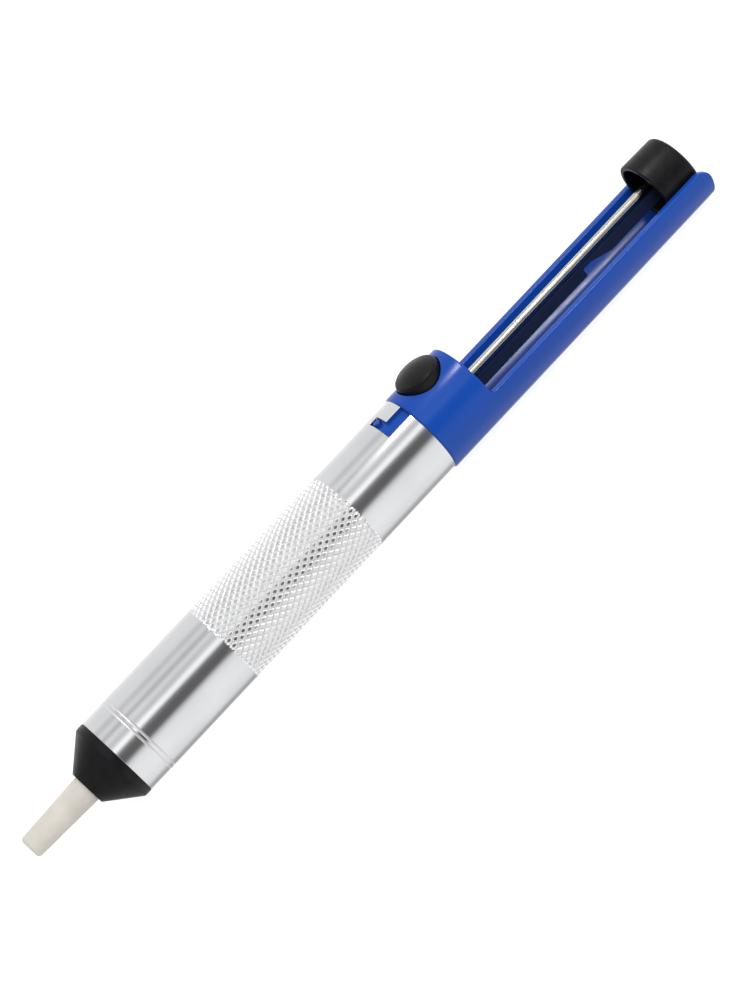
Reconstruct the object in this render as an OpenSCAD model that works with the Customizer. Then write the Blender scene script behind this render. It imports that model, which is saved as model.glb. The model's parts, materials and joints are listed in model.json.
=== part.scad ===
// Desoldering pump: a spring-loaded suction tool with a bayonet-fitted upper housing.
// X runs along the tool from the nozzle's mouth to the knob, and +Z is the button's side.

/* [Barrel] */
// Outside diameter of the barrel
barrel_d = 19; // [18.5:0.5:20]
// Thickness of the aluminium tube
barrel_wall = 1; // [0.9:0.1:1.1]
// Length of the aluminium tube
barrel_l = 89.3; // [87:0.1:100]
// Length of the knurled band
knurl_l = 37.4; // [30:0.1:38]
// Plain length between the nose and the knurled band
front_plain_l = 30.4; // [29:0.1:34]
// Width of the rolled groove near the nose
groove_w = 1.3; // [1:0.1:2]

/* [Nose and nozzle] */
// Length of the nozzle in front of the nose cone
nozzle_l = 16.3; // [14:0.1:20]
// Outside diameter of the nozzle at its mouth
nozzle_tip_d = 5.2; // [5:0.1:6]
// Outside diameter of the nozzle at the nose cone
nozzle_root_d = 6.4; // [6.1:0.1:6.8]
// Bore of the nozzle
nozzle_bore_d = 2.8; // [2.4:0.1:3.2]
// Length of the nose cone in front of the barrel
nose_l = 8.5; // [8:0.1:12]
// Diameter of the nose cone's small end
nose_tip_d = 8; // [7.3:0.1:9]

/* [Upper housing] */
// Outside diameter of the ring and the guard
housing_d = 19.7; // [19:0.1:20.6]
// Length of the ring that holds the button
ring_l = 14.6; // [14:0.1:18]
// Length of the open guard around the plunger
guard_l = 64.7; // [60:0.1:70]
// Thickness of the guard's wall
guard_wall = 1.9; // [1.6:0.1:1.9]
// Radius of the corners at the guard's end
guard_corner_r = 2.8; // [1:0.1:4]

/* [Plunger] */
// Travel of the plunger from rest to its stop
stroke = 42.1; // [36:0.1:43]
// Diameter of the steel rod
rod_d = 2.1; // [1.8:0.05:2.4]
// Thickness of the latch bar
bar_w = 1.5; // [1.2:0.1:1.8]
// Height of the latch bar below the rod
bar_h = 2.8; // [2.6:0.1:3.2]
// Diameter of the knob at its rim
knob_d = 15; // [13:0.1:15.2]
// Length of the knob
knob_l = 9.1; // [8:0.1:10.4]

/* [Button] */
// Diameter of the release button
button_d = 10.3; // [9:0.1:10.4]
// Travel of the release button
button_travel = 1.8; // [1.4:0.1:1.9]

/* [Hidden] */
$fn = 96;
coil_steps = 14;
coil_sides = 6;
run_gap = 0.06;
slack = 0.3;

barrel_r = barrel_d / 2;
housing_r = housing_d / 2;
bore_r = barrel_r - barrel_wall;
x_nose = nozzle_l;
x_barrel = x_nose + nose_l;
x_groove = x_barrel + 5.5;
x_knurl = x_barrel + front_plain_l;
x_ring = x_barrel + barrel_l;
x_guard = x_ring + ring_l;
x_end = x_guard + guard_l;

front_inset = 0.05;
groove_depth = 0.15;
knurl_inset = 0.08;
edge = 0.3;

nozzle_bore_r = nozzle_bore_d / 2;
nozzle_root_r = nozzle_root_d / 2;
mouth_round = 0.6;
nozzle_tail_x = x_nose + 11.7;
nose_rim_l = 1.7;
plug_nose_l = 9.9;
x_seat = x_barrel + plug_nose_l;
seat_t = 1;
seat_hole_r = 4;
seal_r = nozzle_root_r + 0.9;
nozzle_seal_x = x_nose + 3.9;
seal_l = 1.8;
nose_seal_x = x_barrel + 5.6;
nose_seal_l = 2;
nose_seal_r = bore_r - 0.9;
funnel_r = 6.5;
funnel_l = 4;

plug_l = 13.5;
x_plug = x_ring - plug_l;
plug_r = bore_r - run_gap;
chamber_r = 7;
x_button = x_ring + 7.4;
x_wall = x_button + 1.2;
lug_x = x_ring - 5.3;
lug_r = 0.85;
lug_gap = 0.2;
unlock_angle = 25;
slot_w = 2 * (lug_r + lug_gap);
leg_w = 3;
lip_z = -0.35;
guard_r = housing_r - guard_wall;
bumper_l = 1.4;
bumper_r = 8;
bumper_hole_r = 4.4;

rod_r = rod_d / 2;
rod_z = 1.1;
bar_top = rod_z - rod_r - 0.04;
bar_bottom = bar_top - bar_h;
x_piston = x_plug - 12.5;
piston_l = 11;
x_notch = x_button - 0.8 + stroke - 0.6;
notch_flat = 2.3;
notch_ramp = 7.6;
notch_left = 1;
x_bar_end = x_end - 5.8;
x_rod_end = x_end - 5;
x_knob = x_end - 1.1 - knob_l;
knob_r = knob_d / 2;
knob_wall = 1.2;
knob_top_t = 2.8;
knob_taper = 0.2;
knob_round = 1;
knob_boss_x = x_knob + 3;
knob_boss_half_w = 2.4;
knob_boss_rim = 1;

piston_r = bore_r - slack;
boss_r = 5.6;
boss_l = 2.5;
piston_groove_r = 6.9;
rod_seat_x = x_piston + 4;
bar_seat_x = x_piston + 6;
x_spring_end = x_piston + boss_l;
ring_seal_x = x_spring_end + 2.5;
ring_seal_l = 2.6;
washer_t = 0.6;
washer_r = 8;
main_coil_r = 6.7;
main_wire = 0.9;
main_turns = 12;
pin_r = 0.8;
x_pin_tip = stroke - 1;
pin_hole_l = 3;
collar_r = 2.4;
collar_l = 2.5;
collar_bevel = 0.8;
cross_pin_r = 0.5;
cross_pin_half_l = 7.6;
cross_pin_x = x_piston + 8.8;

slider_t = 1.8;
slider_half_w = 3;
slider_bottom = bar_bottom - 1.3;
slider_top = 5.8;
tongue_half_w = 1.6;
tongue_top = 9.6;
window_half_w = 1.9;
button_r = button_d / 2;
button_floor = 5.4;
button_base = 7.6;
button_edge = 10.6;
button_apex = 11.9;
latch_pocket_r = 1.9;
latch_pocket_floor = -8.3;
latch_coil_r = 1.35;
latch_wire = 0.35;
latch_turns = 5;

// Shared shapes

// Lays what is built along Z down along X, from x
module along(x) {
    translate([x, 0, 0])
        rotate([0, 90, 0])
            children();
}

// A round bar along X between two places
module bar_x(x0, x1, r) {
    along(x0)
        cylinder(h = x1 - x0, r = r);
}

// A solid of revolution about X from points of [radius, x]
module turned(points) {
    rotate([0, 90, 0])
        rotate_extrude()
            polygon(points);
}

// A rubber ring with chamfered edges, squeezed between two radii
module seal_ring(x0, x1, r_in, r_out) {
    c = min(x1 - x0, r_out - r_in) * 0.3;
    turned([
        [r_in, x0 + c], [r_in + c, x0], [r_out - c, x0], [r_out, x0 + c],
        [r_out, x1 - c], [r_out - c, x1], [r_in + c, x1], [r_in, x1 - c]
    ]);
}

// Height of a compression spring's wire at a turn, with one closed turn at each end
function coil_height(turn, turns, length, wire) =
    turn < 1 ? wire / 2 + turn * wire :
    turn > turns - 1 ? length - wire / 2 - (turns - turn) * wire :
    wire * 1.5 + (length - 3 * wire) * (turn - 1) / (turns - 2);

// A compression spring along Z, standing on the origin
module coil(mean_r, wire, length, turns) {
    steps = turns * coil_steps;
    n = coil_sides;
    points = [
        for (i = [0:steps], j = [0:n - 1])
            let (a = 360 * i / coil_steps, b = 360 * j / n, r = mean_r + wire / 2 * cos(b))
                [r * cos(a), r * sin(a),
                    coil_height(i / coil_steps, turns, length, wire) + wire / 2 * sin(b)]
    ];
    sides = [
        for (i = [0:steps - 1], j = [0:n - 1])
            let (a = i * n + j, b = i * n + (j + 1) % n)
                each [[a, b + n, b], [a, a + n, b + n]]
    ];
    first = [for (j = [0:n - 1]) j];
    last = [for (j = [n - 1:-1:0]) steps * n + j];
    polyhedron(points, concat([first], sides, [last]));
}

// The way through for the rod and the latch bar
module keyed_hole(x0, x1) {
    translate([0, 0, rod_z])
        bar_x(x0, x1, rod_r + run_gap);
    translate([x0, -bar_w / 2 - run_gap, bar_bottom - run_gap])
        cube([x1 - x0, bar_w + 2 * run_gap, rod_z - bar_bottom]);
}

// The round well that the button sinks into
module button_well() {
    translate([x_button, 0, button_floor])
        cylinder(h = housing_r, r = button_r + slack / 2);
}

// The round pocket that the latch spring stands in
module latch_pocket() {
    translate([x_button, 0, latch_pocket_floor])
        cylinder(h = slider_bottom + slack - latch_pocket_floor, r = latch_pocket_r);
}

// Nose

module nozzle() {
    mouth_r = nozzle_tip_d / 2;
    color("antiquewhite")
        turned([
            [nozzle_bore_r, 0], [mouth_r - mouth_round, 0],
            [mouth_r - mouth_round * edge, mouth_round * edge], [mouth_r, mouth_round],
            [nozzle_root_r, x_nose], [nozzle_root_r, nozzle_tail_x], [nozzle_bore_r, nozzle_tail_x]
        ]);
}

module nozzle_seal() {
    color("dimgray")
        seal_ring(nozzle_seal_x, nozzle_seal_x + seal_l, nozzle_root_r, seal_r);
}

module nose_cone() {
    tip_r = nose_tip_d / 2;
    color([0.1, 0.1, 0.11])
        difference() {
            turned([
                [nozzle_root_r, x_nose], [tip_r - edge, x_nose], [tip_r, x_nose + edge],
                [barrel_r - edge / 2, x_barrel - nose_rim_l], [barrel_r, x_barrel - nose_rim_l + edge / 2],
                [barrel_r, x_barrel], [bore_r, x_barrel], [bore_r, x_seat], [funnel_r, x_seat],
                [funnel_r, nozzle_tail_x + funnel_l], [nozzle_root_r, nozzle_tail_x]
            ]);
            turned([
                [1, nozzle_seal_x], [seal_r, nozzle_seal_x],
                [seal_r, nozzle_seal_x + seal_l], [1, nozzle_seal_x + seal_l]
            ]);
            turned([
                [nose_seal_r, nose_seal_x], [barrel_r, nose_seal_x],
                [barrel_r, nose_seal_x + nose_seal_l], [nose_seal_r, nose_seal_x + nose_seal_l]
            ]);
        }
}

module nose_o_ring() {
    color([0.16, 0.16, 0.16])
        seal_ring(nose_seal_x, nose_seal_x + nose_seal_l, nose_seal_r, bore_r);
}

// Barrel

// The bayonet slot: a long leg to the barrel's end, and a turn to where the lug locks
module bayonet_slot() {
    x0 = lug_x - slot_w / 2;
    swing = (barrel_r - barrel_wall / 2) * sin(unlock_angle / 2);
    near = leg_w / 2 - swing;
    far = -leg_w / 2 - swing;
    lock = swing + slot_w / 2 + 0.1;
    rotate([unlock_angle / 2, 0, 0])
        linear_extrude(barrel_r + 1)
            polygon([
                [x0, far], [x_ring + 1, far], [x_ring + 1, near],
                [x0 + slot_w, near], [x0 + slot_w, lock], [x0, lock]
            ]);
}

module barrel() {
    r = barrel_r;
    front_r = r - front_inset;
    x_knurl_end = x_knurl + knurl_l;
    color("silver")
        difference() {
            turned([
                [bore_r, x_barrel], [front_r, x_barrel], [front_r, x_groove],
                [r - groove_depth, x_groove + groove_w / 3],
                [r - groove_depth, x_groove + groove_w * 2 / 3],
                [r, x_groove + groove_w], [r, x_knurl], [r - knurl_inset, x_knurl],
                [r - knurl_inset, x_knurl_end], [r, x_knurl_end], [r, x_ring], [bore_r, x_ring]
            ]);
            bayonet_slot();
        }
}

module spring_seat() {
    color("lightgray")
        difference() {
            bar_x(x_seat, x_seat + seat_t, bore_r - 0.1);
            bar_x(x_seat - 1, x_seat + seat_t + 1, seat_hole_r);
        }
}

module main_spring() {
    color("gray")
        along(x_seat + seat_t)
            coil(main_coil_r, main_wire, x_spring_end - washer_t - x_seat - seat_t, main_turns);
}

// Plunger

module cleaning_pin() {
    color("silver")
        bar_x(x_pin_tip, x_piston + pin_hole_l, pin_r);
}

module pin_collar() {
    color("goldenrod")
        difference() {
            turned([
                [0, x_piston - collar_l], [collar_r - collar_bevel, x_piston - collar_l],
                [collar_r, x_piston - collar_l + collar_bevel], [collar_r, x_piston], [0, x_piston]
            ]);
            bar_x(x_piston - collar_l - 1, x_piston + 1, pin_r);
        }
}

module spring_washer() {
    color("lightgray")
        difference() {
            bar_x(x_spring_end - washer_t, x_spring_end, washer_r);
            bar_x(x_spring_end - washer_t - 1, x_spring_end + 1, boss_r);
        }
}

module piston() {
    x_back = x_piston + piston_l;
    color([0.15, 0.15, 0.17])
        difference() {
            turned([
                [0, x_piston], [boss_r, x_piston], [boss_r, x_spring_end], [piston_r, x_spring_end],
                [piston_r, ring_seal_x], [piston_groove_r, ring_seal_x],
                [piston_groove_r, ring_seal_x + ring_seal_l], [piston_r, ring_seal_x + ring_seal_l],
                [piston_r, x_back], [0, x_back]
            ]);
            bar_x(x_piston - 1, x_piston + pin_hole_l, pin_r);
            translate([0, 0, rod_z])
                bar_x(rod_seat_x, x_back + 1, rod_r);
            translate([bar_seat_x, -bar_w / 2, bar_bottom])
                cube([piston_l, bar_w, bar_h]);
            cross_pin_shape(barrel_r);
        }
}

module piston_o_ring() {
    color([0.2, 0.2, 0.2])
        seal_ring(ring_seal_x + run_gap, ring_seal_x + ring_seal_l - run_gap,
            piston_groove_r, bore_r - run_gap);
}

module cross_pin_shape(half_l) {
    translate([cross_pin_x, half_l, rod_z])
        rotate([90, 0, 0])
            cylinder(h = 2 * half_l, r = cross_pin_r);
}

module piston_pin() {
    color("silver")
        cross_pin_shape(cross_pin_half_l);
}

module piston_rod() {
    color([0.85, 0.83, 0.78])
        difference() {
            translate([0, 0, rod_z])
                bar_x(rod_seat_x, x_rod_end, rod_r);
            cross_pin_shape(barrel_r);
        }
}

// A flat bar under the rod, with one notch that the latch drops into
module latch_bar() {
    floor_z = bar_top - notch_left;
    color([0.09, 0.13, 0.22])
        translate([0, bar_w / 2, 0])
            rotate([90, 0, 0])
                linear_extrude(bar_w)
                    polygon([
                        [bar_seat_x, bar_top], [bar_seat_x, bar_bottom],
                        [x_notch, bar_bottom], [x_notch, floor_z],
                        [x_notch + notch_flat, floor_z], [x_notch + notch_ramp, bar_bottom],
                        [x_bar_end, bar_bottom], [x_bar_end, bar_top]
                    ]);
}

module plunger_knob() {
    x_top = x_knob + knob_l;
    top_r = knob_r - knob_taper;
    inner_r = knob_r - knob_wall;
    x_inside = x_top - knob_top_t;
    color([0.08, 0.08, 0.08])
        difference() {
            union() {
                difference() {
                    turned([
                        [0, x_knob], [knob_r - edge, x_knob], [knob_r, x_knob + edge],
                        [top_r, x_top - knob_round], [top_r - knob_round * edge, x_top - knob_round * edge],
                        [top_r - knob_round, x_top], [0, x_top]
                    ]);
                    turned([
                        [0, x_knob - 1], [inner_r, x_knob - 1],
                        [inner_r - knob_taper, x_inside], [0, x_inside]
                    ]);
                }
                translate([knob_boss_x, -knob_boss_half_w, bar_bottom - knob_boss_rim])
                    cube([x_top - 1 - knob_boss_x, 2 * knob_boss_half_w,
                        rod_z + rod_r - bar_bottom + 2 * knob_boss_rim]);
            }
            translate([0, 0, rod_z])
                bar_x(knob_boss_x - 1, x_rod_end, rod_r);
            translate([knob_boss_x - 1, -bar_w / 2, bar_bottom])
                cube([x_bar_end - knob_boss_x + 1, bar_w, bar_h]);
        }
}

// Upper housing

module bumper() {
    color([0.25, 0.25, 0.25])
        difference() {
            bar_x(x_plug - bumper_l, x_plug, bumper_r);
            bar_x(x_plug - bumper_l - 1, x_plug + 1, bumper_hole_r);
        }
}

// The half pipe that guards the plunger, with rounded corners at its end
module guard() {
    corner_x = x_end - guard_corner_r;
    corner_z = lip_z - guard_corner_r;
    difference() {
        bar_x(x_guard - 1, x_end, housing_r);
        bar_x(x_guard, x_end + 1, guard_r);
        translate([x_guard, -housing_d, lip_z])
            cube([guard_l + 1, 2 * housing_d, housing_d]);
        difference() {
            translate([corner_x, -housing_d, corner_z])
                cube([guard_corner_r + 1, 2 * housing_d, guard_corner_r + 1]);
            translate([corner_x, housing_d + 1, corner_z])
                rotate([90, 0, 0])
                    cylinder(h = 2 * housing_d + 2, r = guard_corner_r);
        }
    }
}

module upper_housing() {
    color([0.2, 0.36, 0.72])
        difference() {
            union() {
                bar_x(x_plug, x_ring, plug_r);
                bar_x(x_ring, x_guard, housing_r);
                guard();
                translate([lug_x, 0, plug_r - 1])
                    cylinder(h = barrel_r - 0.2 - plug_r + 1, r = lug_r);
            }
            bar_x(x_plug - 1, x_wall, chamber_r);
            keyed_hole(x_wall - 1, x_guard + 1);
            button_well();
            latch_pocket();
        }
}

module guide_bush() {
    color([0.12, 0.12, 0.13])
        difference() {
            bar_x(x_plug, x_button - slider_t / 2 - slack / 2, chamber_r);
            keyed_hole(x_plug - 1, x_button);
            button_well();
            latch_pocket();
        }
}

// The plate that the button pushes down; its lower bar drops into the latch bar's notch
module latch_slider() {
    color("lightgray")
        translate([x_button - slider_t / 2, 0, 0])
            difference() {
                union() {
                    translate([0, -slider_half_w, slider_bottom])
                        cube([slider_t, 2 * slider_half_w, slider_top - slider_bottom]);
                    translate([0, -tongue_half_w, slider_top - 1])
                        cube([slider_t, 2 * tongue_half_w, tongue_top - slider_top + 1]);
                }
                translate([-1, -window_half_w, bar_bottom - 0.1])
                    cube([slider_t + 2, 2 * window_half_w,
                        rod_z + rod_r + button_travel - bar_bottom + slack]);
            }
}

module latch_spring() {
    color("gray")
        translate([x_button, 0, latch_pocket_floor])
            coil(latch_coil_r, latch_wire, slider_bottom - latch_pocket_floor, latch_turns);
}

module release_button() {
    dome_h = button_apex - button_edge;
    dome_r = (button_r * button_r + dome_h * dome_h) / (2 * dome_h);
    color([0.07, 0.07, 0.07])
        difference() {
            translate([x_button, 0, 0])
                intersection() {
                    translate([0, 0, button_base])
                        cylinder(h = button_apex - button_base, r = button_r);
                    translate([0, 0, button_apex - dome_r])
                        sphere(r = dome_r);
                }
            translate([x_button - slider_t / 2, -tongue_half_w, button_base - 1])
                cube([slider_t, 2 * tongue_half_w, tongue_top - button_base + 1]);
        }
}

nozzle();
nozzle_seal();
nose_cone();
nose_o_ring();
barrel();
spring_seat();
main_spring();
cleaning_pin();
pin_collar();
spring_washer();
piston();
piston_o_ring();
piston_pin();
piston_rod();
latch_bar();
bumper();
upper_housing();
guide_bush();
latch_slider();
latch_spring();
release_button();
plunger_knob();
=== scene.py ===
"""Looks of a desoldering pump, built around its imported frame.

Sizes are in millimetres. X runs from the nozzle's mouth to the knob, +Z is the button's side,
and the tool lies on its back on the floor.
"""

import json  # noqa: E402
import math  # noqa: E402

import bmesh  # noqa: E402
import bpy  # noqa: E402
import numpy as np  # noqa: E402
from mathutils import Matrix, Vector  # noqa: E402


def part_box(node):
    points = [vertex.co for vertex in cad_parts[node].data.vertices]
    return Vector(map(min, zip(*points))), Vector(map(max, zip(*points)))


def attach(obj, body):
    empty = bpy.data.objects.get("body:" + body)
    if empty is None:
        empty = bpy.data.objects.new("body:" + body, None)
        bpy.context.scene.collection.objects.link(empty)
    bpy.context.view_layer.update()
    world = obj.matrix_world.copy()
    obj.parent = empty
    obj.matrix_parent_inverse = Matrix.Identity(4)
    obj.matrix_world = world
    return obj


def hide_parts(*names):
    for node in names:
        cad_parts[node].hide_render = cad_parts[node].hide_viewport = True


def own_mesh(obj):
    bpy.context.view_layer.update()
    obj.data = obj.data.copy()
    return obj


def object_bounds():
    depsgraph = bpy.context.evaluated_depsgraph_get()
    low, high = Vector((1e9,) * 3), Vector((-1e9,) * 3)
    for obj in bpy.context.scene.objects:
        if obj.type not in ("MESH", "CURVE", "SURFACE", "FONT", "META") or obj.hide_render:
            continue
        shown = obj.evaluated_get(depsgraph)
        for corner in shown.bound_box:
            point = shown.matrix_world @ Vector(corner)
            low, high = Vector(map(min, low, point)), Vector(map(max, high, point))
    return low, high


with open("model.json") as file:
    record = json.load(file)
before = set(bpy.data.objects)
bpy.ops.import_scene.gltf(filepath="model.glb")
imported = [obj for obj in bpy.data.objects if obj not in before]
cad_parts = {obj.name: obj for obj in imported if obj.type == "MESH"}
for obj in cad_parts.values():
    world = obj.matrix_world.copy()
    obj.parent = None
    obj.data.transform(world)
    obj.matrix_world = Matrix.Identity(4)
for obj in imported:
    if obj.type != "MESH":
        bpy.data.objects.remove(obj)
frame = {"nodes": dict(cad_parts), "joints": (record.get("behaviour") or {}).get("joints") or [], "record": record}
cad_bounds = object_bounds()

MM = 0.001


# ---------------------------------------------------------------- sizes

def cad(node):
    """Lowest and highest corner of a CAD node, in millimetres."""
    low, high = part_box(node)
    return np.array(low) / MM, np.array(high) / MM


NOZZLE = cad("nozzle")
NOSE = cad("nose_cone")
BARREL = cad("barrel")
HOUSING = cad("upper_housing")
BUTTON = cad("release_button")
BAR = cad("latch_bar")
ROD = cad("piston_rod")
KNOB = cad("plunger_knob")
MAIN_SPRING = cad("main_spring")
LATCH_SPRING = cad("latch_spring")
JOINTS = {j["name"]: j for j in frame["joints"]}

x_nose = NOSE[0][0]
x_barrel = BARREL[0][0]
x_ring = BARREL[1][0]
x_plug = HOUSING[0][0]
x_end = HOUSING[1][0]
barrel_r = BARREL[1][2]
housing_r = HOUSING[1][1]
button_r = (BUTTON[1][0] - BUTTON[0][0]) / 2
x_button = BUTTON[0][0] + button_r

# Barrel
barrel_wall = 1.0
bore_r = barrel_r - barrel_wall
front_r = barrel_r - 0.05
groove_lines = (x_barrel + 5.7, x_barrel + 6.7)
groove_half_w = 0.28
groove_depth = 0.13
x_knurl = x_barrel + 30.4
knurl_starts = 40
knurl_pitch = 2.2
knurl_rows = 17
knurl_depth = 0.3
knurl_samples = 10
knurl_fade = 4  # samples over which the knurl rises at each end
knurl_slope = 0.21
x_knurl_end = x_knurl + knurl_pitch * knurl_rows
slot_w = 2.1
leg_w = 3.0
lug_x = x_ring - 5.3
lug_r = 0.85
unlock = math.radians(25)

# Housing
x_guard = x_ring + 14.6
x_wall = x_button + 1.2
plug_r = bore_r - 0.06
chamber_r = 7.0
guard_r = housing_r - 1.9
lip_z = -0.35
lip_round = 0.42
ring_round = 0.45
corner_r = 2.8
end_round = 0.4
lip_fillet = 0.9
well_floor = 5.4
well_r = button_r + 0.22
pocket_r = 1.9
pocket_floor = LATCH_SPRING[0][2]
pocket_top = -4  # inside the chamber
lug_sunk = 0.2  # the lug's top below the barrel's surface
guard_lap = 0.8  # how far the guard runs into the ring

# Plunger
stroke = JOINTS["plunger_slide"]["range_m"][1] / MM
rod_r = (ROD[1][2] - ROD[0][2]) / 2
rod_z = (ROD[1][2] + ROD[0][2]) / 2
bar_half_w = (BAR[1][1] - BAR[0][1]) / 2
latch_offset = 1.4
x_notch = x_button - latch_offset + stroke
key_gap = 0.06

# Button and springs
button_edge_z = 10.6
tongue_half_w = 1.6
main_wire, main_turns = 0.9, 12
latch_wire, latch_turns = 0.35, 5


# ---------------------------------------------------------------- mesh helpers

def filleted(corners, step=math.pi / 16):
    """A closed outline from corners of (x, y, radius), each rounded by its radius."""
    points = []
    count = len(corners)
    for i, (x, y, radius) in enumerate(corners):
        here = np.array([x, y], float)
        if radius == 0:
            points.append(here)
            continue
        back = np.array(corners[i - 1][:2], float) - here
        ahead = np.array(corners[(i + 1) % count][:2], float) - here
        back /= np.linalg.norm(back)
        ahead /= np.linalg.norm(ahead)
        half = math.acos(max(-1.0, min(1.0, back @ ahead))) / 2
        middle = (back + ahead) / np.linalg.norm(back + ahead)
        centre = here + middle * radius / math.sin(half)
        start = here + back * radius / math.tan(half) - centre
        end = here + ahead * radius / math.tan(half) - centre
        first = math.atan2(start[1], start[0])
        sweep = (math.atan2(end[1], end[0]) - first + math.pi) % (2 * math.pi) - math.pi
        steps = max(2, math.ceil(abs(sweep) / step))
        for k in range(steps + 1):
            a = first + sweep * k / steps
            points.append(centre + radius * np.array([math.cos(a), math.sin(a)]))
    return points


def offset(outline, distance):
    """A closed outline moved sideways, outwards for a counter-clockwise one; corners are mitred."""
    mitre_limit = 1.6
    points = np.array(outline, float)
    edges = np.roll(points, -1, axis=0) - points
    edges /= np.linalg.norm(edges, axis=1)[:, None]
    before = np.roll(edges, 1, axis=0)
    normals = np.stack([edges[:, 1] + before[:, 1], -edges[:, 0] - before[:, 0]], axis=1)
    length = np.linalg.norm(normals, axis=1)[:, None]
    normals /= length
    return points + normals * distance * np.minimum(2 / length, mitre_limit)


def add_mesh(name, vertices, faces, sharp=30):
    """A new object from points in millimetres, shaded smooth apart from its sharp edges."""
    mesh = bpy.data.meshes.new(name)
    mesh.from_pydata([tuple(float(c) * MM for c in v) for v in vertices], [], faces)
    made = bmesh.new()
    made.from_mesh(mesh)
    bmesh.ops.remove_doubles(made, verts=made.verts, dist=1e-7)
    bmesh.ops.dissolve_degenerate(made, edges=made.edges, dist=1e-8)
    bmesh.ops.recalc_face_normals(made, faces=made.faces)
    made.to_mesh(mesh)
    made.free()
    obj = bpy.data.objects.new(name, mesh)
    bpy.context.scene.collection.objects.link(obj)
    shade(obj, sharp)
    return obj


def shade(obj, sharp=30):
    obj.data.shade_smooth()
    obj.data.set_sharp_from_angle(angle=math.radians(sharp))


def stitch(rings, closed_ends=True, wrap=True):
    """Vertices and faces of a skin over rings of points; wrap closes the last ring to the first."""
    count = len(rings[0])
    vertices = [p for ring in rings for p in ring]
    faces = []
    last = len(rings) if wrap else len(rings) - 1
    for i in range(last):
        a, b = i * count, (i + 1) % len(rings) * count
        for k in range(count):
            n = (k + 1) % count
            faces.append((a + k, b + k, b + n, a + n))
    if not wrap and closed_ends:
        faces.append(tuple(range(count)))
        faces.append(tuple((len(rings) - 1) * count + k for k in reversed(range(count))))
    return vertices, faces


def turned(name, corners, segments=192, sharp=30):
    """A solid of revolution about X from corners of (x, radius, fillet)."""
    outline = filleted(corners)
    rings = []
    for k in range(segments):
        a = 2 * math.pi * k / segments
        rings.append([(x, r * math.sin(a), r * math.cos(a)) for x, r in outline])
    return add_mesh(name, *stitch(rings), sharp=sharp)


def boolean(obj, other, operation):
    """Joins or cuts obj with other, which is used up."""
    modifier = obj.modifiers.new("cut", "BOOLEAN")
    modifier.operation = operation
    modifier.solver = "MANIFOLD"
    modifier.object = other
    bpy.context.view_layer.update()
    evaluated = obj.evaluated_get(bpy.context.evaluated_depsgraph_get())
    mesh = bpy.data.meshes.new_from_object(evaluated)
    obj.modifiers.clear()
    old, obj.data = obj.data, mesh
    mesh.name = obj.name
    bpy.data.meshes.remove(old)
    bpy.data.objects.remove(other)
    if not mesh.polygons:
        raise RuntimeError(f"the boolean on {obj.name} left nothing")
    shade(obj)
    return obj


def extruded(name, outline, place, low, high, sharp=30):
    """A prism from a 2D outline between two heights; place(u, v, w) gives the point."""
    rings = [[place(u, v, w) for u, v in outline] for w in (low, high)]
    return add_mesh(name, *stitch(rings, wrap=False), sharp=sharp)


def box_cutter(name, low, high):
    (x0, y0, z0), (x1, y1, z1) = low, high
    outline = [(y0, z0), (y1, z0), (y1, z1), (y0, z1)]
    return extruded(name, outline, lambda y, z, x: (x, y, z), x0, x1)


def x_cylinder(name, r, z, x0, x1, segments=64):
    outline = [
        (r * math.cos(2 * math.pi * k / segments), z + r * math.sin(2 * math.pi * k / segments))
        for k in range(segments)
    ]
    return extruded(name, outline, lambda y, zz, x: (x, y, zz), x0, x1)


def z_turned(name, x, corners, segments=128, sharp=30):
    """A solid of revolution about an upright line at x, from corners of (radius, z, fillet)."""
    outline = filleted(corners)
    rings = []
    for k in range(segments):
        a = 2 * math.pi * k / segments
        rings.append([(x + r * math.cos(a), r * math.sin(a), z) for r, z in outline])
    return add_mesh(name, *stitch(rings), sharp=sharp)


# ---------------------------------------------------------------- barrel

def knurl_height(i, j):
    """Height of the knurl, 0 in a groove and 1 on a point, at a place on its sample grid."""
    heights = []
    for across in (i + j, i - j):
        turn = across / knurl_samples
        heights.append(min(1.0, abs(turn - round(turn)) / knurl_slope))
    return min(heights)


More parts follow.
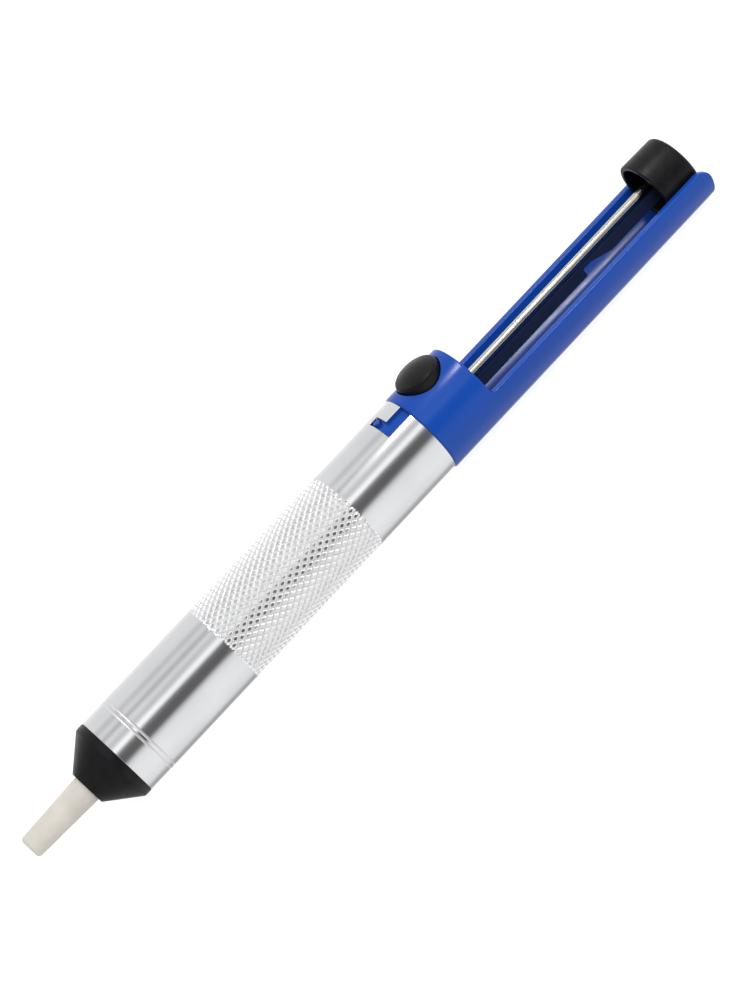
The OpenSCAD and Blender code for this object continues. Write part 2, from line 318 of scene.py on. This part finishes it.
def make_barrel():
    segments = knurl_starts * knurl_samples
    row = knurl_pitch / knurl_samples
    rows = knurl_rows * knurl_samples
    dip_r = barrel_r - groove_depth
    front = [(x_barrel, bore_r, 0.15), (x_barrel, front_r, 0.25)]
    for x in groove_lines:
        near_r = front_r if x == groove_lines[0] else barrel_r
        front += [
            (x - groove_half_w, near_r, 0.05), (x, dip_r, 0.12), (x + groove_half_w, barrel_r, 0.05),
        ]
    front = filleted(front + [(x_knurl - 1, barrel_r, 0), (x_knurl - 1, bore_r, 0)])[:-1]
    end = filleted([
        (x_ring - 1, bore_r, 0), (x_knurl_end + 1, barrel_r, 0),
        (x_ring, barrel_r, 0.12), (x_ring, bore_r, 0.12),
    ])[1:]
    profile = [(x, r, None) for x, r in front]
    profile += [(x_knurl + row * i, barrel_r, i) for i in range(rows + 1)]
    profile += [(x, r, None) for x, r in end]
    vertices, faces = [], []
    for x, r, i in profile:
        fade = 0.0 if i is None else min(1.0, min(i, rows - i) / knurl_fade)
        for j in range(segments):
            radius = r
            if fade:
                radius -= knurl_depth * fade * (1 - knurl_height(i, j))
            a = 2 * math.pi * j / segments
            vertices.append((x, radius * math.sin(a), radius * math.cos(a)))
    heights = np.hypot(*np.array(vertices)[:, 1:].T)
    for p in range(len(profile)):
        q = (p + 1) % len(profile)
        for j in range(segments):
            n = (j + 1) % segments
            a, b, c, d = p * segments + j, q * segments + j, q * segments + n, p * segments + n
            knurled = profile[p][2] is not None and profile[q][2] is not None
            if not knurled:
                faces.append((a, b, c, d))
            elif heights[a] + heights[c] < heights[b] + heights[d]:
                faces += [(a, b, c), (a, c, d)]
            else:
                faces += [(a, b, d), (b, c, d)]
    barrel = add_mesh("barrel_tube", vertices, faces, sharp=24)
    return boolean(barrel, slot_cutter(), "DIFFERENCE")


def slot_cutter():
    """The bayonet slot, flared a little at the tube's surface so that its edge is chamfered."""
    chamfer, play, past, spacing = 0.1, 0.1, 0.5, 0.4
    mid_r = barrel_r - barrel_wall / 2
    leg = unlock * mid_r
    x0, x1 = lug_x - slot_w / 2, lug_x + slot_w / 2
    lock = -slot_w / 2 - play
    outline = filleted([
        (x0, leg + leg_w / 2, 0.15), (x0, lock, 0.15), (x1, lock, 0.15), (x1, leg - leg_w / 2, 0.2),
        (x_ring + 2, leg - leg_w / 2, 0), (x_ring + 2, leg + leg_w / 2, 0),
    ])
    dense = []
    for k, p in enumerate(outline):
        q = outline[(k + 1) % len(outline)]
        steps = max(1, math.ceil(np.linalg.norm(q - p) / spacing))
        dense += [p + (q - p) * s / steps for s in range(steps)]
    area = sum(a[0] * b[1] - b[0] * a[1] for a, b in zip(dense, dense[1:] + dense[:1]))
    if area < 0:
        dense.reverse()
    rings = []
    levels = (bore_r - past, 0), (barrel_r - chamfer, 0), (barrel_r + past, chamfer + past)
    for r, grow in levels:
        shifted = offset(dense, grow) if grow else dense
        rings.append([
            (x, -r * math.sin(s / mid_r), r * math.cos(s / mid_r)) for x, s in shifted
        ])
    cutter = add_mesh("slot_cutter", *stitch(rings, wrap=False))
    made = bmesh.new()
    made.from_mesh(cutter.data)
    bmesh.ops.triangulate(made, faces=[f for f in made.faces if len(f.verts) > 4])
    made.to_mesh(cutter.data)
    made.free()
    return cutter


# ---------------------------------------------------------------- housing

def guard_section(lip, inset):
    """Points of the guard's cross-section, from the middle of one lip round to the other."""
    outer, inner, fillet = housing_r - inset, guard_r + inset, lip_round
    top = lip - inset
    arc = 40
    # Outer corner: a fillet tangent to the lip's plane and to the outside
    centre_z = top - fillet
    centre_y = math.sqrt((outer - fillet) ** 2 - centre_z ** 2)
    start = math.atan2(centre_z, centre_y)
    outer_arc = [(-math.pi / 2 + (start + math.pi / 2) * k / arc) for k in range(arc)]
    half_outer = [(outer * math.cos(a), outer * math.sin(a)) for a in outer_arc]
    half_outer += [
        (centre_y + fillet * math.cos(a), centre_z + fillet * math.sin(a))
        for a in np.linspace(start, math.pi / 2, 7)
    ]
    # Inner corner: a fillet tangent to the lip's plane and to the trough
    centre_y = math.sqrt((inner + fillet) ** 2 - centre_z ** 2)
    start = math.atan2(centre_z, centre_y)
    inner_arc = [(-math.pi / 2 + (start + math.pi / 2) * k / arc) for k in range(arc)]
    half_inner = [(inner * math.cos(a), inner * math.sin(a)) for a in inner_arc]
    half_inner += [
        (centre_y - fillet * math.cos(a - start), centre_z + fillet * math.sin(a - start))
        for a in np.linspace(start, start + math.pi / 2, 7)
    ]
    half = half_outer + half_inner[::-1]
    count = len(half_outer)
    return half, count


def make_guard():
    """The half pipe, with rounded lips, a fillet up to the ring and rounded corners at its end."""
    x_lap = x_guard - guard_lap
    lift = lip_fillet
    corner_x = x_end - corner_r
    stations = [(x_lap, lip_z + lift, 0), (x_guard, lip_z + lift, 0)]
    for a in np.linspace(0, math.pi / 2, 9)[1:]:
        stations.append((x_guard + lift * (1 - math.cos(a)), lip_z + lift * (1 - math.sin(a)), 0))
    stations += [(x, lip_z, 0) for x in np.linspace(x_guard + lift, corner_x, 12)[1:-1]]
    for a in np.linspace(0, math.pi / 2, 33):
        x = corner_x + corner_r * math.sin(a)
        lip = lip_z - corner_r * (1 - math.cos(a))
        past = max(0.0, x - (x_end - end_round))
        inset = end_round - math.sqrt(max(0.0, end_round ** 2 - past ** 2))
        stations.append((x, lip, inset))
    rings = []
    for x, lip, inset in stations:
        half, count = guard_section(lip, inset)
        other = [(-y, z) for y, z in half[1:-1]]
        # One closed ring: up the outside, over the lip, down the trough, and the same mirrored
        ring = half + other[::-1]
        rings.append([(x, y, z) for y, z in ring])
    vertices, faces = stitch(rings, wrap=False, closed_ends=False)
    size = len(rings[0])
    for end, flip in ((0, False), (len(rings) - 1, True)):
        base = end * size
        right = list(range(len(half)))
        left = [0] + [size - k for k in range(1, len(half) - 1)] + [len(half) - 1]
        for side, turn in ((right, flip), (left, not flip)):
            for k in range(count - 1):
                quad = [side[k], side[k + 1], side[len(side) - 2 - k], side[len(side) - 1 - k]]
                quad = list(dict.fromkeys(quad))
                if len(quad) >= 3:
                    faces.append(tuple(base + v for v in (quad if turn else quad[::-1])))
    return add_mesh("guard", vertices, faces)


def make_housing():
    corners = [
        (x_plug, chamber_r, 0.2), (x_plug, plug_r, 0.4), (x_ring, plug_r, 0),
        (x_ring, housing_r, ring_round),
        (x_guard, housing_r, ring_round), (x_guard, 0, 0), (x_wall, 0, 0), (x_wall, chamber_r, 0),
    ]
    outline = filleted(corners)
    segments = 256
    rings = []
    for k in range(segments):
        a = 2 * math.pi * k / segments
        up = math.cos(a)
        # The ring's far edge is rounded only where the guard doesn't carry on from it
        keep = max(0.03, min(1.0, (up * housing_r - 0.2) / 1.2))
        ring = []
        for x, r in outline:
            if x > x_guard - ring_round - 1e-6 and r > housing_r - ring_round - 1e-6:
                x = x_guard - (x_guard - x) * keep
                r = housing_r - (housing_r - r) * keep
            ring.append((x, r * math.sin(a), r * up))
        rings.append(ring)
    housing = add_mesh("housing_shell", *stitch(rings))
    boolean(housing, make_guard(), "UNION")
    lug = z_turned("lug", lug_x, [
        (0, plug_r - 1, 0), (lug_r, plug_r - 1, 0),
        (lug_r, barrel_r - lug_sunk, 0.2), (0, barrel_r - lug_sunk, 0),
    ], 48)
    boolean(housing, lug, "UNION")
    well = z_turned("well", x_button, [
        (0, well_floor, 0), (well_r, well_floor, 0.3), (well_r, housing_r + 2, 0), (0, housing_r + 2, 0),
    ])
    boolean(housing, well, "DIFFERENCE")
    pocket = z_turned("pocket", x_button, [
        (0, pocket_floor, 0), (pocket_r, pocket_floor, 0),
        (pocket_r, pocket_top, 0), (0, pocket_top, 0),
    ], 64)
    boolean(housing, pocket, "DIFFERENCE")
    rod_hole = x_cylinder("rod_hole", rod_r + key_gap, rod_z, x_wall - 1, x_guard + 1)
    boolean(housing, rod_hole, "DIFFERENCE")
    half = bar_half_w + key_gap
    low, high = (x_wall - 1, -half, BAR[0][2] - key_gap), (x_guard + 1, half, rod_z)
    return boolean(housing, box_cutter("bar_hole", low, high), "DIFFERENCE")


# ---------------------------------------------------------------- other pieces

def make_nozzle():
    root_r = NOZZLE[1][1]
    mouth_r, inner_r = 2.6, 1.4
    return turned("nozzle_tube", [
        (0, inner_r, 0.25), (0, mouth_r, 0.85), (x_nose, root_r, 0),
        (NOZZLE[1][0], root_r, 0.2), (NOZZLE[1][0], inner_r, 0.2),
    ])


def make_nose():
    root_r, tip_r, rim_l, funnel_r = 3.2, 4.0, 1.7, 6.5
    funnel_l, seal_depth = 4, 0.9
    tail_x = NOZZLE[1][0]
    inner, outer = cad("nozzle_seal"), cad("nose_o_ring")
    return turned("nose_shell", [
        (x_nose, root_r, 0.1), (x_nose, tip_r, 0.25), (x_barrel - rim_l, barrel_r, 0.8),
        (x_barrel, barrel_r, 0.12), (x_barrel, bore_r, 0),
        (outer[0][0], bore_r, 0), (outer[0][0], bore_r - seal_depth, 0),
        (outer[1][0], bore_r - seal_depth, 0), (outer[1][0], bore_r, 0),
        (NOSE[1][0], bore_r, 0.2), (NOSE[1][0], funnel_r, 0.2), (tail_x + funnel_l, funnel_r, 0),
        (tail_x, root_r, 0), (inner[1][0], root_r, 0), (inner[1][0], root_r + seal_depth, 0),
        (inner[0][0], root_r + seal_depth, 0), (inner[0][0], root_r, 0),
    ])


def make_button():
    """The domed cap, with a hole in its underside for the latch slider's tongue."""
    low, edge, apex = BUTTON[0][2], button_edge_z, BUTTON[1][2]
    dome = [
        (button_r * k / 10, apex - (apex - edge) * (k / 10) ** 2, 0) for k in range(9)
    ]
    button = z_turned("button_cap", x_button, [
        (0, low, 0), (button_r - 0.1, low, 0.2), (button_r, edge + 0.1, 0.9), *dome[::-1],
    ], 160)
    slider = cad("latch_slider")
    return boolean(button, box_cutter(
        "tongue_hole", (slider[0][0], -tongue_half_w, low - 1),
        (slider[1][0], tongue_half_w, slider[1][2])), "DIFFERENCE")


def make_rod():
    x0, x1 = ROD[0][0], ROD[1][0]
    rod = turned("rod", [(x0, 0, 0), (x0, rod_r, 0.2), (x1, rod_r, 0.2), (x1, 0, 0)], 96)
    rod.data.transform(Matrix.Translation((0, 0, rod_z * MM)))
    return rod


def make_bar():
    """The flat bar under the rod, with one notch that has a square face and a long ramp."""
    top, bottom = BAR[1][2], BAR[0][2]
    notch_floor = top - 1.0
    flat_l, ramp_end, corner, bevel = 2.3, 7.6, 0.18, 0.1
    outline = filleted([
        (BAR[0][0], top, corner), (BAR[0][0], bottom, corner),
        (x_notch, bottom, 0.35), (x_notch, notch_floor, 0.2),
        (x_notch + flat_l, notch_floor, 1.2), (x_notch + ramp_end, bottom, 1.5),
        (BAR[1][0], bottom, corner), (BAR[1][0], top, corner),
    ])
    half = bar_half_w
    rings = []
    for y, inset in ((-half, bevel), (-half + bevel * 0.3, bevel * 0.3), (-half + bevel, 0),
                     (half - bevel, 0), (half - bevel * 0.3, bevel * 0.3), (half, bevel)):
        ring = offset(outline, -inset) if inset else outline
        rings.append([(x, y, z) for x, z in ring])
    return add_mesh("bar", *stitch(rings, wrap=False), sharp=15)


def make_knob():
    x0, x1 = KNOB[0][0], KNOB[1][0]
    r = KNOB[1][1]
    wall, top_t, taper = 1.2, 2.8, 0.2
    knob = turned("knob_cup", [
        (x0, r - wall, 0.4), (x0, r, 0.4), (x1, r - taper, 0.9), (x1, 0, 0),
        (x1 - top_t, 0, 0), (x1 - top_t, r - wall - taper, 0.5),
    ])
    # The boss inside the cup holds the rod and the bar; its holes start a little before it
    boss_x, hole_x, boss_half_w, margin = x0 + 3, x0 + 2, 2.4, 1
    boolean(knob, box_cutter(
        "boss", (boss_x, -boss_half_w, BAR[0][2] - margin),
        (x1 - margin, boss_half_w, rod_z + rod_r + margin)), "UNION")
    boolean(knob, x_cylinder("rod_hole", rod_r, rod_z, hole_x, ROD[1][0]), "DIFFERENCE")
    low, high = (hole_x, -bar_half_w, BAR[0][2]), (BAR[1][0], bar_half_w, BAR[1][2])
    return boolean(knob, box_cutter("bar_hole", low, high), "DIFFERENCE")


def make_coil(name, box, wire, turns, along_x, steps=28, sides=10):
    """A compression spring with closed ends, filling its CAD node's box."""
    axis = 0 if along_x else 2
    length = box[1][axis] - box[0][axis]
    mean_r = (box[1][1] - box[0][1]) / 2 - wire / 2
    centre = (box[0] + box[1]) / 2
    rings = []
    for k in range(turns * steps + 1):
        turn = k / steps
        if turn < 1:
            h = wire / 2 + turn * wire
        elif turn > turns - 1:
            h = length - wire / 2 - (turns - turn) * wire
        else:
            h = wire * 1.5 + (length - 3 * wire) * (turn - 1) / (turns - 2)
        a = 2 * math.pi * turn
        ring = []
        for s in range(sides):
            b = 2 * math.pi * s / sides
            r = mean_r + wire / 2 * math.cos(b)
            up = h + wire / 2 * math.sin(b)
            if along_x:
                ring.append((box[0][0] + up, centre[1] + r * math.sin(a), centre[2] + r * math.cos(a)))
            else:
                ring.append((centre[0] + r * math.cos(a), centre[1] + r * math.sin(a), box[0][2] + up))
        rings.append(ring)
    return add_mesh(name, *stitch(rings, wrap=False))


# ---------------------------------------------------------------- materials

class Nodes:
    """A material's node tree, with short ways to add and join its nodes."""

    def __init__(self, name):
        self.material = bpy.data.materials.new(name)
        self.material.use_nodes = True
        self.tree = self.material.node_tree
        self.shader = self.tree.nodes["Principled BSDF"]
        self.place = self.add("ShaderNodeTexCoord").outputs["Object"]

    def add(self, kind, **settings):
        made = self.tree.nodes.new(kind)
        for key, value in settings.items():
            setattr(made, key, value)
        return made

    def link(self, source, target):
        self.tree.links.new(source, target)

    def set(self, **values):
        for key, value in values.items():
            self.shader.inputs[key.replace("_", " ")].default_value = value

    def stretched(self, scale):
        mapping = self.add("ShaderNodeMapping")
        mapping.inputs["Scale"].default_value = scale
        self.link(self.place, mapping.inputs["Vector"])
        return mapping.outputs["Vector"]

    def noise(self, scale, detail=3.0, roughness=0.55, stretch=None):
        made = self.add("ShaderNodeTexNoise")
        made.inputs["Scale"].default_value = scale
        made.inputs["Detail"].default_value = detail
        made.inputs["Roughness"].default_value = roughness
        self.link(self.stretched(stretch) if stretch else self.place, made.inputs["Vector"])
        return made.outputs["Fac"]

    def spread(self, value, low, high, start=0.3, end=0.7):
        made = self.add("ShaderNodeMapRange")
        self.link(value, made.inputs["Value"])
        for key, number in (("From Min", start), ("From Max", end), ("To Min", low), ("To Max", high)):
            made.inputs[key].default_value = number
        return made.outputs["Result"]

    def colours(self, value, dark, light, start=0.3, end=0.7):
        ramp = self.add("ShaderNodeValToRGB")
        ramp.color_ramp.elements[0].position = start
        ramp.color_ramp.elements[1].position = end
        ramp.color_ramp.elements[0].color = (*dark, 1)
        ramp.color_ramp.elements[1].color = (*light, 1)
        self.link(value, ramp.inputs["Fac"])
        self.link(ramp.outputs["Color"], self.shader.inputs["Base Color"])

    def rough(self, value, low, high):
        self.link(self.spread(value, low, high), self.shader.inputs["Roughness"])

    def bump(self, *layers):
        """Bumps from (value, height in millimetres), the coarsest first."""
        normal = None
        for value, height in layers:
            made = self.add("ShaderNodeBump")
            made.inputs["Distance"].default_value = height * MM
            self.link(value, made.inputs["Height"])
            if normal is not None:
                self.link(normal, made.inputs["Normal"])
            normal = made.outputs["Normal"]
        self.link(normal, self.shader.inputs["Normal"])


def aluminium():
    n = Nodes("barrel_aluminium")
    lines = n.noise(1.0, 4, 0.6, (30, 2600, 2600))
    clouds = n.noise(90, 2)
    n.set(Metallic=1.0)
    n.colours(clouds, (0.60, 0.605, 0.614), (0.655, 0.658, 0.666))
    n.rough(lines, 0.10, 0.19)
    n.bump((n.noise(60, 1, 0.5, (0.6, 4, 4)), 0.03), (lines, 0.0012))
    return n.material


def satin_aluminium(name, dark, light):
    n = Nodes(name)
    grain = n.noise(3500, 3)
    n.set(Metallic=1.0)
    n.colours(n.noise(500, 2), (dark, dark, dark), (light, light, light))
    n.rough(grain, 0.42, 0.52)
    n.bump((grain, 0.004))
    return n.material


def blue_plastic():
    n = Nodes("blue_plastic")
    flow = n.noise(70, 3, 0.5, (0.5, 1, 1))
    n.set(IOR=1.5, Specular_IOR_Level=0.19)
    n.colours(flow, (0.004, 0.046, 0.278), (0.006, 0.052, 0.30))
    n.rough(n.noise(400, 3), 0.16, 0.21)
    n.bump((flow, 0.02))
    return n.material


def black_plastic():
    n = Nodes("black_plastic")
    grain = n.noise(2400, 2)
    n.set(IOR=1.48, Specular_IOR_Level=0.17)
    n.colours(n.noise(350, 3), (0.003, 0.003, 0.0036), (0.006, 0.006, 0.007))
    n.rough(n.noise(700, 3), 0.30, 0.42)
    n.bump((n.noise(300, 2), 0.012), (grain, 0.014))
    return n.material


def nozzle_plastic():
    n = Nodes("nozzle_plastic")
    n.set(IOR=1.38, Subsurface_Weight=0.35, Subsurface_Scale=0.0012)
    n.shader.inputs["Subsurface Radius"].default_value = (1.0, 0.8, 0.65)
    n.colours(n.noise(160, 4), (0.44, 0.412, 0.37), (0.51, 0.48, 0.44))
    n.rough(n.noise(500, 3), 0.38, 0.52)
    n.bump((n.noise(900, 3), 0.006))
    return n.material


def bar_plastic():
    n = Nodes("bar_plastic")
    n.set(IOR=1.49, Specular_IOR_Level=0.3)
    n.colours(n.noise(120, 3), (0.011, 0.017, 0.043), (0.014, 0.021, 0.052))
    n.rough(n.noise(300, 3, stretch=(0.2, 1, 1)), 0.42, 0.56)
    n.bump((n.noise(60, 2, stretch=(0.3, 1, 1)), 0.02), (n.noise(2200, 2), 0.002))
    return n.material


def metal(name, dark, light, rough, lines, height=0.001, stretch=(1, 1, 1), scale=900):
    n = Nodes(name)
    grain = n.noise(lines, 3, 0.6, stretch)
    n.set(Metallic=1.0)
    n.colours(n.noise(scale, 3), dark, light)
    n.rough(grain, *rough)
    n.bump((grain, height))
    return n.material


def rubber():
    n = Nodes("seal_rubber")
    n.set(IOR=1.5)
    n.colours(n.noise(500, 3), (0.012, 0.012, 0.012), (0.022, 0.022, 0.021))
    n.rough(n.noise(900, 3), 0.4, 0.62)
    n.bump((n.noise(1500, 3), 0.008))
    return n.material


ROD_LINES = (40, 2400, 2400)
ROD_COLOURS = (0.50, 0.475, 0.41), (0.56, 0.53, 0.46)
MATERIALS = {
    "barrel_aluminium": aluminium(),
    "blue_plastic": blue_plastic(),
    "black_plastic": black_plastic(),
    "nozzle_plastic": nozzle_plastic(),
    "bar_plastic": bar_plastic(),
    "rod_steel": metal("rod_steel", *ROD_COLOURS, (0.16, 0.22), 1, 0.00004, ROD_LINES),
    "spring_steel": metal(
        "spring_steel", (0.38, 0.38, 0.39), (0.52, 0.52, 0.53), (0.25, 0.4), 1600, 0.003),
    "pressed_steel": metal(
        "pressed_steel", (0.52, 0.52, 0.53), (0.68, 0.68, 0.69), (0.28, 0.42), 1200, 0.003),
    "brass": metal("brass", (0.66, 0.47, 0.2), (0.82, 0.62, 0.3), (0.2, 0.34), 1, 0.002, (2600, 60, 60)),
    "seal_rubber": rubber(),
}


def finish_piece(obj, body, slot, nodes, material=None):
    """Gives a piece its material, looked up by slot unless one is given, puts it on its body and hides the CAD
    nodes that it stands for.
    """
    if not obj.data.materials:
        obj.data.materials.append(None)
    obj.data.materials[0] = material or MATERIALS[slot]
    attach(obj, body)
    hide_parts(*nodes)
    return obj


# ---------------------------------------------------------------- build

barrel = finish_piece(make_barrel(), "barrel_body", "barrel_aluminium", ["barrel"])
barrel.data.materials.append(satin_aluminium("knurled_aluminium", 0.885, 0.94))
barrel.data.materials.append(satin_aluminium("groove_aluminium", 0.66, 0.74))
# The knurl's crests keep the tube's bright metal, and so does the bore
edge, bore_skin, crest = 0.1, 0.3, knurl_depth / 6
for face in barrel.data.polygons:
    x, y, z = face.center / MM
    r = math.hypot(y, z)
    outside = r > bore_r + bore_skin
    in_knurl = x_knurl + edge < x < x_knurl_end - edge and outside and r < barrel_r - crest
    in_groove = min(abs(x - line) for line in groove_lines) < groove_half_w and outside
    face.material_index = 1 if in_knurl else 2 if in_groove else 0

finish_piece(make_nozzle(), "barrel_body", "nozzle_plastic", ["nozzle"])
finish_piece(make_nose(), "barrel_body", "black_plastic", ["nose_cone"])
finish_piece(make_housing(), "housing", "blue_plastic", ["upper_housing"])
finish_piece(make_button(), "button", "black_plastic", ["release_button"])
finish_piece(make_rod(), "plunger", "rod_steel", ["piston_rod"])
finish_piece(make_bar(), "plunger", "bar_plastic", ["latch_bar"])
finish_piece(make_knob(), "plunger", "black_plastic", ["plunger_knob"])

main_coil = finish_piece(
    make_coil("main_coil", MAIN_SPRING, main_wire, main_turns, True),
    "barrel_body", "spring_steel", ["main_spring"])
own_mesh(main_coil)

latch_coil = finish_piece(
    make_coil("latch_coil", LATCH_SPRING, latch_wire, latch_turns, False),
    "housing", "spring_steel", ["latch_spring"])
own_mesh(latch_coil)

for part in frame["record"]["subparts"]:
    node = frame["nodes"][part["node"]]
    if not node.hide_render:
        node.data.materials.clear()
        node.data.materials.append(MATERIALS[part["material_slot"]])


# ---------------------------------------------------------------- stage, light and camera

def make_floor():
    """A pale light table, which keeps the shadows soft."""
    gap, half = 0.02, 4000.0
    floor_z = cad_bounds[0][2] / MM - gap
    floor = add_mesh("floor", [
        (-half, -half, floor_z), (half, -half, floor_z), (half, half, floor_z), (-half, half, floor_z),
    ], [(0, 1, 2, 3)])
    n = Nodes("light_table")
    n.colours(n.noise(14, 3), (0.22, 0.22, 0.22), (0.24, 0.24, 0.24))
    n.set(Roughness=0.9, Specular_IOR_Level=0.0, Emission_Strength=0.92)
    n.shader.inputs["Emission Color"].default_value = (1, 1, 1, 1)
    floor.data.materials.append(n.material)
    floor.visible_glossy = False


def make_world():
    """A white studio with a dark opening low on the near side and a bright strip above it.

    Brightness depends on the direction alone: on the angle around X, and towards X's ends on X.
    """
    world = bpy.data.worlds.new("studio")
    bpy.context.scene.world = world
    world.use_nodes = True
    tree = world.node_tree
    add, link = tree.nodes.new, tree.links.new
    background = tree.nodes["Background"]
    direction = add("ShaderNodeSeparateXYZ")
    link(add("ShaderNodeTexCoord").outputs["Generated"], direction.inputs[0])

    def maths(operation, a, b=None):
        made = add("ShaderNodeMath")
        made.operation = operation
        for socket, value in zip(made.inputs, (a, b)):
            if isinstance(value, (int, float)):
                socket.default_value = value
            elif value is not None:
                link(value, socket)
        return made.outputs[0]

    front = maths("MULTIPLY", direction.outputs["Y"], -1)
    rise = maths("ARCTAN2", direction.outputs["Z"], front)
    around = add("ShaderNodeValToRGB")
    link(maths("ADD", maths("DIVIDE", rise, 2 * math.pi), 0.5), around.inputs["Fac"])
    # Angle in degrees above the near horizon, and brightness
    stops = [
        (-180, 1.12), (-150, 0.9), (-125, 0.52), (-110, 0.52), (-102, 0.8), (-88, 1.1),
        (-55, 1.24), (-30, 1.22), (-14, 1.16), (-7, 1.02), (-1, 0.68), (4, 0.26), (9, 0.16),
        (17, 0.16), (25, 0.2), (31, 0.3), (38.5, 1.45), (45, 1.5), (51, 0.92), (58, 0.78),
        (69, 1.1), (79.5, 0.64), (91, 1.04), (107, 0.78), (119, 1.05), (172, 1.07), (180, 1.15),
    ]
    elements = around.color_ramp.elements
    while len(elements) < len(stops):
        elements.new(0.5)
    for element, (angle, value) in zip(elements, stops):
        element.position = (angle + 180) / 360
        element.color = (value, value, value * 1.01, 1)
    # Towards its two ends the studio is even: bright past the knob, dim past the nozzle
    ends = add("ShaderNodeValToRGB")
    link(maths("ADD", maths("MULTIPLY", direction.outputs["X"], 0.5), 0.5), ends.inputs["Fac"])
    ends.color_ramp.elements[0].color = (0.55, 0.55, 0.555, 1)
    ends.color_ramp.elements[1].color = (1.08, 1.08, 1.09, 1)
    ends.color_ramp.elements[0].position = 0.3
    ends.color_ramp.elements[1].position = 0.7
    tilt = add("ShaderNodeMapRange")
    tilt.interpolation_type = "SMOOTHSTEP"
    link(maths("ABSOLUTE", direction.outputs["X"]), tilt.inputs["Value"])
    tilt.inputs["From Min"].default_value = 0.4
    tilt.inputs["From Max"].default_value = 0.75
    # Sockets 6 and 7 are the node's two colours, and output 2 is their mix
    both = add("ShaderNodeMix")
    both.data_type = "RGBA"
    link(tilt.outputs["Result"], both.inputs["Factor"])
    link(around.outputs["Color"], both.inputs[6])
    link(ends.outputs["Color"], both.inputs[7])
    link(both.outputs[2], background.inputs["Color"])
    background.inputs["Strength"].default_value = 1.0


def make_lights():
    sun = bpy.data.lights.new("top_light", "SUN")
    sun.energy = 2.3
    sun.angle = math.radians(40)
    lamp = bpy.data.objects.new("top_light", sun)
    lamp.rotation_euler = Vector((0.05, -0.55, 1)).to_track_quat("Z", "Y").to_euler()
    lamp.visible_glossy = False
    bpy.context.scene.collection.objects.link(lamp)
    # A strip light over the guard, set askew, which draws the light line down its trough
    radiance, place, turn = 46, (0.2535, -0.081, 0.4), math.radians(70)
    strip = bpy.data.lights.new("strip_light", "AREA")
    strip.shape = "RECTANGLE"
    strip.size, strip.size_y = 0.115, 0.03
    strip.energy = radiance * math.pi * strip.size * strip.size_y
    lamp = bpy.data.objects.new("strip_light", strip)
    lamp.matrix_world = Matrix.Translation(place) @ Matrix.Rotation(turn, 4, "Z")
    lamp.visible_diffuse = False
    bpy.context.scene.collection.objects.link(lamp)


def make_camera():
    """A long lens above the near side, with the tool's axis running up to the right."""
    foot, target, below = Vector((0.0193, 0, 0)), Vector((0.0978, 0, 0)), 0.00245
    elevation, roll, distance = math.radians(29.3), math.radians(46.77), 0.56
    towards = Vector((0, -math.cos(elevation), math.sin(elevation)))
    up_side = Vector((0, math.sin(elevation), math.cos(elevation)))
    place = foot + towards * distance
    aim = target - up_side * below
    forward = (aim - place).normalized()
    axis = Vector((1, 0, 0))
    axis = (axis - forward * axis.dot(forward)).normalized()
    lateral = axis.cross(forward)
    right = axis * math.cos(roll) - lateral * math.sin(roll)
    up = axis * math.sin(roll) + lateral * math.cos(roll)
    data = bpy.data.cameras.new("camera")
    data.lens = 100.65
    data.sensor_width = 36
    data.clip_start, data.clip_end = 0.01, 20
    camera = bpy.data.objects.new("camera", data)
    turn = Matrix((right, up, -forward)).transposed().to_4x4()
    camera.matrix_world = Matrix.Translation(place) @ turn
    bpy.context.scene.collection.objects.link(camera)
    bpy.context.scene.camera = camera


make_floor()
make_world()
make_lights()
make_camera()
bpy.context.scene.view_settings.view_transform = "Standard"

bpy.context.view_layer.update()
